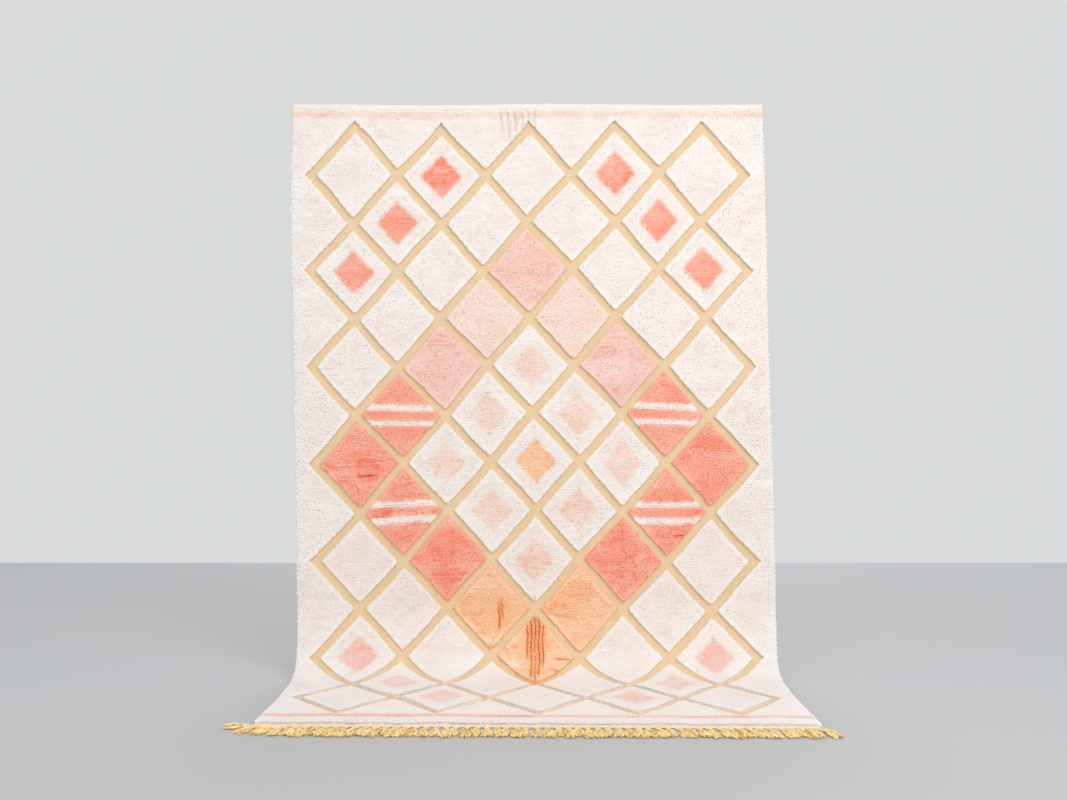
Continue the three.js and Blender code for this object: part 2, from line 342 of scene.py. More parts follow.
def add_node(tree, kind, inputs=None, **settings):
    """Adds a node; each input takes a value, or the socket that feeds it."""
    node = tree.nodes.new("ShaderNode" + kind)
    for name, value in settings.items():
        setattr(node, name, value)
    for name, value in (inputs or {}).items():
        if isinstance(value, bpy.types.NodeSocket):
            tree.links.new(value, node.inputs[name])
        else:
            node.inputs[name].default_value = value
    return node


def wool(name, sheen):
    """A new material for matt wool, with its node tree and shader; colour and bump are linked to it."""
    material = bpy.data.materials.new(name)
    material.use_nodes = True
    shader = material.node_tree.nodes["Principled BSDF"]
    shader.inputs["Roughness"].default_value = 1
    shader.inputs["IOR"].default_value = 1.55
    shader.inputs["Specular IOR Level"].default_value = 0.15
    shader.inputs["Sheen Weight"].default_value = sheen
    shader.inputs["Sheen Roughness"].default_value = 0.6
    return material, material.node_tree, shader


def tan_flat_weave():
    """Weft-faced plain weave of tan wool: matt, with low even ribs that run across the rug."""
    rib_mm = 7  # the real ribs are 3 to 4 mm apart, and these are coarser so that they show
    mottle_mm = 45
    material, tree, shader = wool("tan flat-woven wool", sheen=0.15)
    flat = add_node(tree, "UVMap", uv_map="flat").outputs["UV"]
    ribs = add_node(
        tree, "TexWave", {"Vector": flat, "Scale": WAVE_MM / rib_mm, "Distortion": 2.5, "Detail Scale": 2},
        bands_direction="Y",
    ).outputs["Fac"]
    mottle = add_node(tree, "TexNoise", {"Vector": flat, "Scale": 1000 / mottle_mm, "Detail": 6})
    yarn = add_node(tree, "MixRGB", {
        "Fac": mottle.outputs["Fac"], "Color1": linear("#f0cfa0"), "Color2": linear("#fae1bd"),
    })
    colour = add_node(tree, "MixRGB", {
        "Fac": 0.14, "Color1": yarn.outputs["Color"], "Color2": ribs,
    }, blend_type="MULTIPLY")
    bump = add_node(tree, "Bump", {"Strength": 0.5, "Distance": 0.001, "Height": ribs})
    tree.links.new(colour.outputs["Color"], shader.inputs["Base Color"])
    tree.links.new(bump.outputs["Normal"], shader.inputs["Normal"])
    return material


def spun_wool(name, sheen, fibre_mm, hairy, painted_root_shade, painted_root_tint=None):
    """Soft hand-spun wool in strands: matt, its colour broken up by hairs, with shade painted in, deeper and
    if tinted warmer, towards the roots.
    """
    material, tree, shader = wool(name, sheen)
    dye = add_node(tree, "Attribute", attribute_name="dye").outputs["Color"]
    along = add_node(tree, "Attribute", attribute_name="along").outputs["Fac"]
    place = add_node(tree, "TexCoord").outputs["Object"]
    fibres = add_node(tree, "TexNoise", {"Vector": place, "Scale": 1000 / fibre_mm, "Detail": 2})
    # painted shade: the colour deepens towards a strand's root, where it sits in the shade between strands
    root = add_node(tree, "Gamma", {"Color": dye, "Gamma": painted_root_shade})
    strand = add_node(tree, "MixRGB", {"Fac": along, "Color1": root.outputs["Color"], "Color2": dye})
    if painted_root_tint:
        # the painted warm shade is full at the root and gone half way up
        foot = add_node(tree, "Math", {0: along, 1: -2, 2: 1}, operation="MULTIPLY_ADD", use_clamp=True)
        strand = add_node(tree, "MixRGB", {
            "Fac": foot.outputs["Value"], "Color1": strand.outputs["Color"], "Color2": linear(painted_root_tint),
        }, blend_type="MULTIPLY")
    colour = add_node(tree, "MixRGB", {
        "Fac": hairy, "Color1": strand.outputs["Color"], "Color2": fibres.outputs["Fac"],
    }, blend_type="OVERLAY")
    bump = add_node(tree, "Bump", {"Strength": 0.4, "Distance": 0.001, "Height": fibres.outputs["Fac"]})
    tree.links.new(colour.outputs["Color"], shader.inputs["Base Color"])
    tree.links.new(bump.outputs["Normal"], shader.inputs["Normal"])
    return material


def knotted_back():
    """The back of the knots: rows of small wool nodules in the colours of the pile, firm and matt."""
    mottle_mm = 70
    material, tree, shader = wool("knotted wool back", sheen=0.1)
    dye = add_node(tree, "Attribute", attribute_name="dye").outputs["Color"]
    flat = add_node(tree, "UVMap", uv_map="flat").outputs["UV"]
    knots, rows = (
        add_node(
            tree, "TexWave", {"Vector": flat, "Scale": WAVE_MM / pitch, "Distortion": 1.2},
            bands_direction=way,
        ).outputs["Fac"]
        for pitch, way in ((KNOT_PITCH, "X"), (ROW_PITCH, "Y"))
    )
    nodules = add_node(tree, "Math", {0: knots, 1: rows}, operation="MULTIPLY").outputs["Value"]
    warp = add_node(tree, "MixRGB", {"Fac": 0.42, "Color1": dye, "Color2": linear("#d3bc97")})
    wool_colour = add_node(tree, "MixRGB", {"Fac": nodules, "Color1": warp.outputs["Color"], "Color2": dye})
    mottle = add_node(tree, "TexNoise", {"Vector": flat, "Scale": 1000 / mottle_mm, "Detail": 5})
    colour = add_node(tree, "MixRGB", {
        "Fac": 0.35, "Color1": wool_colour.outputs["Color"], "Color2": mottle.outputs["Fac"],
    }, blend_type="SOFT_LIGHT")
    bump = add_node(tree, "Bump", {"Strength": 1, "Distance": 0.003, "Height": nodules})
    tree.links.new(colour.outputs["Color"], shader.inputs["Base Color"])
    tree.links.new(bump.outputs["Normal"], shader.inputs["Normal"])
    return material


def laid(piece, place, soft=None):
    """Moves a piece from where it was made to where it lies, shaded smooth. Where soft gives a share above
    0, it is shaded that much like the rug's own face, because light spreads from tuft to tuft in wool."""
    data = piece.data
    made = np.empty(len(data.vertices) * 3, np.float32)
    data.vertices.foreach_get("co", made)
    made = made.reshape(-1, 3)
    data.vertices.foreach_set("co", place(made).astype(np.float32).ravel())
    if np.linalg.det(place(np.eye(3)) - place(np.zeros((1, 3)))) < 0:
        data.flip_normals()
    data.shade_smooth()
    data.set_sharp_from_angle(angle=math.radians(SHARP_ANGLE))
    if soft:
        own = np.empty_like(made).ravel()
        data.vertex_normals.foreach_get("vector", own)
        along = np.empty(len(made), np.float32)
        data.attributes["along"].data.foreach_get("value", along)
        share = (soft(made) * np.clip(along / SOFT_ABOVE, 0, 1))[:, None]
        out = place(made + [0, 0, 1]) - place(made)
        out /= np.linalg.norm(out, axis=1, keepdims=True)
        data.normals_split_custom_set_from_vertices(own.reshape(-1, 3) * (1 - share) + out * share)
    return piece


def new_piece(name, data, *materials):
    """A new object in the scene that rides on the rug's body."""
    for material in materials:
        data.materials.append(material)
    piece = bpy.data.objects.new(name, data)
    bpy.context.scene.collection.objects.link(piece)
    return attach(piece, "root")


def ground_weave():
    """The whole cloth, each face with the dye of its place and the material of its side."""
    tan_weave, bed, back = 0, 1, 2
    mesh = woven_cloth()
    bmesh.ops.triangulate(mesh, faces=mesh.faces)
    flat_map = mesh.loops.layers.uv.new("flat")
    dye_layer = mesh.faces.layers.float_color.new("dye")
    x, y = middles(mesh.faces)
    for face, dye, in_line in zip(mesh.faces, dye_at(x, y), from_line(x, y) < LINE_WIDTH / 2):
        face[dye_layer] = PALETTE[dye]
        highest = max(corner.co.z for corner in face.verts)
        # the bed under the tufts takes the pile wool, whose painted root shade is full there, as no strand
        # runs along it
        face.material_index = bed if highest > GROUND else tan_weave if highest > 0 or in_line else back
        for loop in face.loops:
            loop[flat_map].uv = loop.vert.co.xy / 1000
    data = bpy.data.meshes.new("ground_weave")
    mesh.to_mesh(data)
    mesh.free()
    return laid(new_piece("ground_weave", data, tan_flat_weave(), dyed_pile, knotted_back()), hung)


# Cut pile, with shade painted deeper and warmer down between its tufts. Hairs are too fine to show: its grain
# is of small locks
dyed_pile = spun_wool(
    "dyed pile wool", sheen=0.25, fibre_mm=1.6, hairy=0.12, painted_root_shade=1.45, painted_root_tint="#fbf4ec",
)
cloth = ground_weave()
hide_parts("rug")

# Knotted pile
# Every knot is a tuft of soft wool, cut to about 20 mm, in rows 10 mm apart. The tufts lean down the rug and
# mat together. Where the rug was folded they have parted in long creases, with shade painted deep onto their
# tufts.
KNOT_STRAY = 2
PILE = 20
EDGE_ROW = {"tied": [0, 7, 14, 21], "stands": [4.5, 6, 13, 21], "even": 0.2}
EDGE_WAVER = {"size": 2.2, "across": 75, "down": 75, "seed": 41}
CORNER = 12
EDGE_CROWN = {"inset": [0, 3, 14], "height": [9, 15, PILE], "lean": 4}
LUMPS = [
    {"size": 1.2, "across": 5.3, "down": 6.1, "start": 0.4},
    {"size": 0.8, "across": -9.7, "down": 8.3, "start": 1.9},
]
TUFT = {"root": 6, "across": 8.6, "down": 8.2, "girth": [0.92, 1.08], "uneven": 0.4}
SHOULDER = {"height": 0.8, "lean": 0.6}
TIED_IN = {"ground": 1, "bed": 2, "clear_of_line": 9}
NAP = {"lean": 5, "stray": 1, "calm": 0.8, "free_at": 26, "calm_at": 4}
MATTED_ACROSS = {"size": 3.5, "across": 34, "down": 34, "seed": 5}
MATTED_DOWN = {"size": 2.5, "across": 34, "down": 20.4, "seed": 6}
FLECKS = {"width": 0.2, "none_at": -0.6, "all_at": 0.4, "sunk": 2, "deep": 0.5}
FLECK_STREAKS = {"size": 1, "across": 48, "down": 13, "seed": 31}
FLECK_PATCHES = {"size": 1, "across": 130, "down": 130, "seed": 32}
DYE_LOTS = {"size": 0.1, "across": 700, "down": 30, "seed": 21}
DYE_PATCHES = {"size": 0.2, "across": 90, "down": 55, "seed": 22}
DYE_STRAY = 0.06
DYE_BLEND = {"reach": 7, "stray": 2}
# Paler towards the foot: partly a real fade of the dye, partly painted light where the rug turns up towards
# the light
LIT_AND_FADED_FOOT = {"from": 2280, "to": 2540, "by": 0.3}
CREASE = {"clear": 5.5, "core": 4, "beside": 9, "haze": 26, "fade": 70, "widest": 6, "full_at": 0.5}
CREASE_WAY = {"sway": 2, "sway_run": 23, "sway_start": 30, "shake": 1, "shake_run": 6.1}
# How creased tufts sink and slim, and how deep and dark the shade painted on them is
CREASED_TUFT = {
    "sunk": 3, "slim_beside": 0.45, "slim_core": 0.3, "painted_core_shade": 4.6, "painted_haze_shade": 0.3, "painted_core_dark": 0.4,
}
# Rows of short tufts along each crease, dark with painted shade
CREASE_SHADE_TUFTS = {"apart": 4.5, "from_end": 8}
CREASES = [
    {"at": -36, "from": 2110, "to": 2360, "push": 3},
    {"at": -20, "from": 2070, "to": 2480, "push": 5},
    {"at": -4, "from": 2050, "to": 2510, "push": 6},
    {"at": 12, "from": 2070, "to": 2460, "push": 5},
    {"at": 28, "from": 2120, "to": 2400, "push": 3},
    {"at": -148, "from": 2080, "to": 2240, "push": 3.5},
    {"at": -136, "from": 2060, "to": 2200, "push": 2.5},
    {"at": -112, "from": 0, "to": 150, "push": 1.6},
    {"at": -84, "from": 0, "to": 190, "push": 1.6},
    {"at": -56, "from": 0, "to": 170, "push": 1.6},
    {"at": -28, "from": 0, "to": 210, "push": 1.6},
    {"at": 0, "from": 0, "to": 180, "push": 1.6},
    {"at": 28, "from": 0, "to": 150, "push": 1.6},
]
CROSS_CREASES = [
    {"at": 2330, "from": 60, "to": 170, "push": 4},
    {"at": 2392, "from": 40, "to": 130, "push": 4},
    {"at": 1560, "from": -760, "to": -640, "push": 3},
    {"at": 1810, "from": 560, "to": 700, "push": 3},
]
SOFT_FACE = {"share": 0.85, "from_side": 16}
BAKE_CELL = {"margin": 0.04, "root": 0.12, "root_at": 0.05, "root_reach": 0.04}
PILE_PIECES = 4
knot_draw = np.random.default_rng(11)


def unevenness(x, y, lumps):
    """Smooth random heights at places on the flat rug, in lumps of the given size across and down."""
    shape = (int(LENGTH / lumps["down"]) + 4, int(WIDTH / lumps["across"]) + 4)
    table = np.random.default_rng(lumps["seed"]).uniform(-1, 1, shape)
    along_x, along_y = (x + WIDTH / 2) / lumps["across"] + 1, y / lumps["down"] + 1
    column, row = np.floor(along_x).astype(int), np.floor(along_y).astype(int)
    share_x, share_y = smooth_step(along_x - column, 0, 1), smooth_step(along_y - row, 0, 1)
    upper = table[row, column] * (1 - share_x) + table[row, column + 1] * share_x
    lower = table[row + 1, column] * (1 - share_x) + table[row + 1, column + 1] * share_x
    return lumps["size"] * (upper * (1 - share_y) + lower * share_y)


def inside_edge(x, y):
    """How far places are inside the pile's edges along the lines, round at the corners and a little wavy."""
    beyond = [LINE_PITCH * abs(value % 1 - 0.5) - LINE_WIDTH / 2 for value in lattice(x, y)]
    near, far = np.minimum(*beyond), np.maximum(*beyond)
    rounded = CORNER - np.hypot(np.clip(CORNER - near, 0, None), np.clip(CORNER - far, 0, None))
    edge = np.where(in_field(x, y), np.where(near < CORNER, rounded, near), far)
    return edge + unevenness(x, y, EDGE_WAVER)


def tube_faces(steps, sides, closed):
    """The corners of one strand's faces, one face after another, and how many corners each has."""
    here = np.arange(sides)
    beside = (here + 1) % sides
    quads = np.concatenate([
        np.stack([here, beside, beside + sides, here + sides], axis=1) + ring * sides
        for ring in range(steps - 2)
    ])
    last = (steps - 2) * sides
    tips = np.stack([here + last, beside + last, here * 0 + last + sides], axis=1)
    root = here[::-1] if closed else here[:0]
    corners = np.concatenate([quads.ravel(), tips.ravel(), root])
    return corners, np.array([4] * len(quads) + [3] * len(tips) + [sides] * closed)


def strands(name, paths, widths, depths, sides, upright, colours, closed=True):
    """Many small strands in one mesh, each a tube of rings along its path that closes at its tip. The root
    stays open where it stands in something."""
    count, steps, _ = paths.shape
    run = np.gradient(paths, axis=1)
    run /= np.linalg.norm(run, axis=2, keepdims=True)
    side = np.cross(run, upright)
    side /= np.linalg.norm(side, axis=2, keepdims=True)
    up = np.cross(run, side)
    turns = 2 * np.pi * np.arange(sides) / sides
    around = (
        side[:, :-1, None] * widths[:, :-1, None, None] * np.cos(turns)[:, None]
        + up[:, :-1, None] * depths[:, :-1, None, None] * np.sin(turns)[:, None]
    )
    rings = (paths[:, :-1, None] + around).reshape(count, -1, 3)
    points = np.concatenate([rings, paths[:, -1:]], axis=1)
    per_strand = points.shape[1]
    corners, sizes = tube_faces(steps, sides, closed)
    strand = np.arange(count)[:, None]
    data = bpy.data.meshes.new(name)
    data.vertices.add(count * per_strand)
    data.vertices.foreach_set("co", points.astype(np.float32).ravel())
    data.loops.add(count * len(corners))
    data.loops.foreach_set("vertex_index", (strand * per_strand + corners).astype(np.int32).ravel())
    data.polygons.add(count * len(sizes))
    starts = strand * len(corners) + (np.cumsum(sizes) - sizes)
    data.polygons.foreach_set("loop_start", starts.astype(np.int32).ravel())
    data.update(calc_edges=True)
    dye = data.attributes.new("dye", "FLOAT_COLOR", "POINT")
    dye.data.foreach_set("color", np.repeat(colours, per_strand, axis=0).astype(np.float32).ravel())
    share = np.append(np.repeat(np.arange(steps - 1), sides), steps - 1) / (steps - 1)
    along = data.attributes.new("along", "FLOAT", "POINT")
    along.data.foreach_set("value", np.tile(share, count).astype(np.float32))
    mark_bake_map(data, count, steps, sides, closed)
    return data


def mark_bake_map(data, count, steps, sides, closed):
    """Lays every strand's skin out in a small cell of its own on a map, a closed root below the rest."""
    here = np.arange(sides)
    quad = np.array([
        [[column, row], [column + 1, row], [column + 1, row + 1], [column, row + 1]]
        for row in range(steps - 2) for column in here
    ])
    tip = np.array([
        [[column, steps - 2], [column + 1, steps - 2], [column + 0.5, steps - 1]] for column in here
    ])
    skin = np.concatenate([quad.reshape(-1, 2), tip.reshape(-1, 2)]) / [sides, steps - 1]
    if closed:
        turns = 2 * np.pi * here[::-1] / sides
        around = np.stack([np.cos(turns), np.sin(turns)], axis=1)
        root = BAKE_CELL["root_at"] + BAKE_CELL["root_reach"] * around
        skin = np.concatenate([skin * [1, 1 - BAKE_CELL["root"]] + [0, BAKE_CELL["root"]], root])
    cells = math.ceil(math.sqrt(count))
    cell = np.stack(np.divmod(np.arange(count), cells)[::-1], axis=1)
    margin = BAKE_CELL["margin"]
    places = (cell[:, None] + margin + (1 - 2 * margin) * skin) / cells
    bake_map = data.uv_layers.new(name="OFBake")
    bake_map.uv.foreach_set("vector", places.astype(np.float32).ravel())


def knots():
    """Where the knots are tied: all over the cloth apart from its lines and ends, close up to each line."""
    across = np.arange(-WIDTH / 2 + SELVEDGE + KNOT_PITCH / 2, WIDTH / 2 - SELVEDGE, KNOT_PITCH)
    down = np.arange(END_WEAVE + ROW_PITCH / 2, LENGTH - END_WEAVE, ROW_PITCH)
    x, y = (grid.ravel() for grid in np.meshgrid(across, down))
    odd = np.rint((y - down[0]) / ROW_PITCH) % 2
    x = x + KNOT_PITCH / 2 * (odd - 0.5) + knot_draw.uniform(-KNOT_STRAY, KNOT_STRAY, len(x))
    y = y + knot_draw.uniform(-KNOT_STRAY, KNOT_STRAY, len(y))
    inside = inside_edge(x, y)
    x, y, inside = x[inside > 0], y[inside > 0], inside[inside > 0]
    slope_x = inside_edge(x + 0.5, y) - inside_edge(x - 0.5, y)
    slope_y = inside_edge(x, y + 0.5) - inside_edge(x, y - 0.5)
    even = abs(np.hypot(slope_x, slope_y) - 1) < EDGE_ROW["even"]
    pull = np.interp(inside, EDGE_ROW["tied"], EDGE_ROW["stands"]) - inside
    pull = np.where((inside < EDGE_ROW["tied"][-1]) & even, pull, 0)
    return x + pull * slope_x, y + pull * slope_y


def wander(crease, along):
    """Where a crease lies across its own way, at places along it."""
    start = crease["at"] / CREASE_WAY["sway_start"]
    sway = CREASE_WAY["sway"] * np.sin(along / CREASE_WAY["sway_run"] + start)
    return crease["at"] + sway + CREASE_WAY["shake"] * np.sin(along / CREASE_WAY["shake_run"])


def open_share(crease, along):
    """How far a crease is open at places along it: not at all at its ends, fully between them if widest."""
    opening = smooth_step(along, crease["from"], crease["from"] + CREASE["fade"])
    closing = smooth_step(along, crease["to"], crease["to"] - CREASE["fade"])
    return opening * closing * crease["push"] / CREASE["widest"]


def parted(table, across, along):
    """How far the creases of a table push the tufts at these places aside, in mm, and how near the tufts are
    to a crease's core, to the tufts beside it and to its haze of painted shade, from 0 to 1."""
    push, core, beside, haze = (np.zeros_like(across) for _ in range(4))
    for crease in table:
        aside = across - wander(crease, along)
        opened = open_share(crease, along)
        room = np.clip(CREASE["clear"] - abs(aside), 0, None) * np.sign(aside)
        push += room * np.minimum(1, opened / CREASE["full_at"])
        core = np.maximum(core, opened * np.exp(-(aside / CREASE["core"]) ** 2))
        beside = np.maximum(beside, opened * np.exp(-(aside / CREASE["beside"]) ** 2))
        haze = np.maximum(haze, opened * np.exp(-(aside / CREASE["haze"]) ** 2))
    return push, core, beside, haze


def crease_shade_tufts():
    """Where short tufts stand along the bottom of every crease, clear of the woven lines; their colour
    carries the crease's painted shade.
    """
    places = []
    for table, down in ((CREASES, True), (CROSS_CREASES, False)):
        for crease in table:
            start, end = crease["from"] + CREASE_SHADE_TUFTS["from_end"], crease["to"] - CREASE_SHADE_TUFTS["from_end"]
            along = np.arange(start, end, CREASE_SHADE_TUFTS["apart"])
            line = [wander(crease, along), along]
            places.append(np.stack(line if down else line[::-1]))
    x, y = np.concatenate(places, axis=1)
    clear = from_line(x, y) > LINE_WIDTH / 2 + EDGE_ROW["stands"][0]
    return x[clear], y[clear]


def tuft_places():
    """Where the tufts stand: at the knots, pushed aside by the creases, and in rows along the creases'
    bottoms that carry their painted shade.
    """
    x, y = knots()
    push_x, push_y = parted(CREASES, x, y)[0], parted(CROSS_CREASES, y, x)[0]
    root_x, root_y = crease_shade_tufts()
    return np.append(x + push_x, root_x), np.append(y + push_y, root_y)


def flecks(x, y):
    """How far the tufts at these places are matted into a short deep fleck, from 0 to 1."""
    streak = 1 - abs(unevenness(x, y, FLECK_STREAKS)) / FLECKS["width"]
    patch = unevenness(x, y, FLECK_PATCHES)
    return np.clip(streak, 0, 1) * smooth_step(patch, FLECKS["none_at"], FLECKS["all_at"])


def leans(x, y, to_line, beside):
    """How far the tips lean across and down: less close to a line, outwards at the rug's sides."""
    calm = 1 - NAP["calm"] * smooth_step(to_line, NAP["free_at"], NAP["calm_at"])
    lean_x = calm * unevenness(x, y, MATTED_ACROSS)
    lean_y = calm * (NAP["lean"] + unevenness(x, y, MATTED_DOWN))
    lean_x += knot_draw.uniform(-NAP["stray"], NAP["stray"], len(x))
    lean_x *= 1 - beside
    lean_x += EDGE_CROWN["lean"] * np.sign(x) * (WIDTH / 2 - abs(x) < EDGE_CROWN["inset"][-1])
    return lean_x, lean_y


def tuft_shapes(x, y, core, beside, fleck):
    """Every tuft's path from its root over its shoulder to its tip, with its widths and depths there."""
    to_line = from_line(x, y) - LINE_WIDTH / 2
    inset = np.minimum(WIDTH / 2 - abs(x), np.minimum(y, LENGTH - y))
    lean_x, lean_y = leans(x, y, to_line, beside)
    crown = np.interp(inset, EDGE_CROWN["inset"], EDGE_CROWN["height"])
    height = crown + wave_sum(LUMPS, x, y) + TUFT["uneven"] * knot_draw.uniform(-1, 1, len(x))
    height -= FLECKS["sunk"] * fleck + CREASED_TUFT["sunk"] * core
    by_edge = (to_line < TIED_IN["clear_of_line"]) | (inset < EDGE_CROWN["inset"][-1])
    root = np.where(by_edge, GROUND - TIED_IN["ground"], BED - TIED_IN["bed"])
    shoulder = root + SHOULDER["height"] * (height - root)
    paths = np.stack([
        np.stack([x, y, root], axis=1),
        np.stack([x + SHOULDER["lean"] * lean_x, y + SHOULDER["lean"] * lean_y, shoulder], axis=1),
        np.stack([x + lean_x, y + lean_y, height], axis=1),
    ], axis=1)
    girth = 1 - CREASED_TUFT["slim_beside"] * beside - CREASED_TUFT["slim_core"] * core
    widths, depths = (
        np.outer(girth * knot_draw.uniform(*TUFT["girth"], len(x)), [TUFT["root"], TUFT[way], 0])
        for way in ("across", "down")
    )
    return paths, widths, depths


def stray_places(x, y):
    """The places, each moved a little at random, so that the edge between two dyes is soft."""
    stray = DYE_BLEND["stray"]
    return (value + knot_draw.uniform(-stray, stray, len(value)) for value in (x, y))


def tuft_colours(x, y, core, haze, fleck):
    """The colours of the tufts: blended where two dyes meet, deeper in streaks and flecks, with painted shade
    in the creases and, besides a real fade, painted light on the foot.
    """
    palette = np.array(PALETTE)
    reach = DYE_BLEND["reach"]
    colours = np.mean([
        palette[dye_at(*stray_places(x + step_x, y + step_y))]
        for step_x, step_y in ((0, 0), (reach, 0), (-reach, 0), (0, reach), (0, -reach))
    ], axis=0)
    deep = (
        unevenness(x, y, DYE_LOTS) + unevenness(x, y, DYE_PATCHES) + FLECKS["deep"] * fleck
        # painted shade: deeper down in a crease and in its haze
        + CREASED_TUFT["painted_core_shade"] * core + CREASED_TUFT["painted_haze_shade"] * haze
        + knot_draw.uniform(-DYE_STRAY, DYE_STRAY, len(x))
        # painted light, in part: the foot, which faces up to the light, is made paler, besides its fading dye
        - LIT_AND_FADED_FOOT["by"] * smooth_step(y, LIT_AND_FADED_FOOT["from"], LIT_AND_FADED_FOOT["to"])
    )
    colours[:, :3] **= 1 + deep[:, None]
    # painted shade: the core of a crease is made darker still
    colours[:, :3] *= 1 - CREASED_TUFT["painted_core_dark"] * core[:, None]
    return colours


def tufts():
    """Paths, widths, depths and colours of all the tufts on the flat rug."""
    x, y = tuft_places()
    _, core, beside, haze = np.maximum(parted(CREASES, x, y), parted(CROSS_CREASES, y, x))
    fleck = flecks(x, y)
    return *tuft_shapes(x, y, core, beside, fleck), tuft_colours(x, y, core, haze, fleck)


def as_one_face(points):
    """How far places in the pile are shaded like the rug's own face: less at its sides, where it shows."""
    return SOFT_FACE["share"] * smooth_step(WIDTH / 2 - abs(points[:, 0]), 0, SOFT_FACE["from_side"])


tuft_paths, tuft_widths, tuft_depths, tuft_dyes = tufts()
tied_at = tuft_paths[:, 0, 1]
for part in range(PILE_PIECES):
    among = (tied_at >= LENGTH * part / PILE_PIECES) & (tied_at < LENGTH * (part + 1) / PILE_PIECES)
    pile_mesh = strands(
        f"pile_{part + 1}", tuft_paths[among], tuft_widths[among], tuft_depths[among],
        sides=4, upright=ACROSS, colours=tuft_dyes[among], closed=False,
    )
    pile = laid(new_piece(pile_mesh.name, pile_mesh, dyed_pile), hung, as_one_face)
    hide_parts("rug")

# Selvedges
# The long edges of the cloth, where the weft turns round a thick bundle of warps and is overcast in cream
# wool. Each is one firm cord with a rib for every turn of the yarn.
OVERCAST = {"pitch": 10, "inset": 4, "height": 4.6, "girth": 4.2, "rib": 0.12}


def selvedges():
    """Both cords, thicker and thinner in turn for every turn of the yarn."""
    down = np.arange(0, LENGTH + 1, OVERCAST["pitch"] / 2)
    edge = WIDTH / 2 - OVERCAST["inset"]
    flat = np.stack([
        np.stack([0 * down + side, down, 0 * down + OVERCAST["height"]], axis=1) for side in (-edge, edge)
    ])
    rib = 1 + OVERCAST["rib"] * (-1.0) ** np.arange(len(down))
    size = np.tile(OVERCAST["girth"] * rib, (2, 1))
    cream = np.array([linear(DYES["cream"])] * 2)
    return strands("selvedges", flat, size, size, sides=6, upright=ACROSS, colours=cream)


overcast_edges = laid(new_piece("selvedges", selvedges(), dyed_pile), hung)
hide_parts("rug")

# Fringe
# The warps of the lower end, drawn out as golden yarn: twined once across for a heading, laid up in pairs as
# two-ply cords, and each pair tied in a knot, below which the loose yarn opens into a bushy brush.
# It is made in its own frame: x along the rug's lower edge from its middle, forward towards -y.
TASSELS = 57
GAP = 0.4
END_MARGIN = 16
UP = (0, 0, 1)
LEAN = {
    "tassel": [0, 1, 2, 3, 6, 28, 40, 55, 56],
    "turn": [-84, -52, -27, -13, -4, 0, 5, 12, 24],
}
SWAY = {"turn": 2.5, "pace": 1.1, "stray": 6}
REACH = {"share": 0.06, "pace": 2.7, "stray": 0.14}
BUSHY_STRAY = 0.25
FRINGE_DYES = {"golden": "#ffe19a", "pale": "#ffefc6", "deep": "#e2b069", "cord": "#fbe9cf"}
HEADING = {
    "depth": 14, "rows": [{"at": -3.8, "start": 0}, {"at": -10.6, "start": 1.2}], "from_end": 8, "step": 5,
    "yarn": 2.2, "twist": 14, "out": 1.5, "up": 1.3, "height": 3.6, "dyes": {"cord": 0.8, "golden": 0.2},
}
CORD = {
    "from": -9, "to": 38, "steps": 12, "yarn": 2.3, "girth": [0.9, 1.1], "ply": 0.12,
    "fan": [-10.5, -3.6, 3.4, 10.2], "stray": 1.5, "meet": 0.25, "closing": [0.1, 0.95],
    "wave": 0.7, "waves": 9, "start": 6, "height": 1.25, "arch": [0.2, 2.4],
    "dyes": {"cord": 0.65, "golden": 0.1, "pale": 0.25},
}
KNOT = {
    "from": 31, "to": 45, "steps": 15, "yarn": 3.1, "across": 5.8, "up": 3.8, "turns": 2.3, "start": 6,
    "slant": 2, "dyes": {"golden": 0.6, "pale": 0.2, "cord": 0.2},
}
BRUSH = {
    "count": 22, "from": 37, "to": 123, "steps": 9, "yarn": 2.7, "spread": 17, "curl": 5,
    "dyes": {"golden": 0.65, "pale": 0.28, "deep": 0.07},
}
FUZZ = {
    "count": 22, "from": 36, "to": 128, "steps": 6, "yarn": 1.0, "spread": 20, "curl": 6,
    "dyes": {"golden": 0.5, "pale": 0.5},
}
LOOSE = {
    "shortest": 0.6, "girth": [0.75, 1.15], "curls": [1.1, 2.3], "start": 6.3, "open_at": 0.5,
    "shuffle": 3, "shuffles": 1.7, "height": 1.2, "heap": 12, "flank": 0.5, "rise_from": 0.15,
    "rise_run": 0.8, "round": 0.6, "ripple": 1.5, "more_ripples": 0.7,
}
YARN_SHADE = [0.9, 1.05]
lower_edge = hung([[-WIDTH / 2, LENGTH, 0], [WIDTH / 2, LENGTH, 0]])
edge_length = np.linalg.norm(lower_edge[1] - lower_edge[0]) * 1000
EDGE_WAY = (lower_edge[1] - lower_edge[0]) / np.linalg.norm(lower_edge[1] - lower_edge[0])
EDGE_MIDDLE = lower_edge.mean(axis=0) * [1, 1, 0]
FRINGE_AXES = np.array([EDGE_WAY, [-EDGE_WAY[1], EDGE_WAY[0], 0], [0, 0, 1]])


def along_edge(points):
    """Points of the fringe's own frame, in mm, where they are in the frame, in metres."""
    return points @ FRINGE_AXES / 1000 + EDGE_MIDDLE


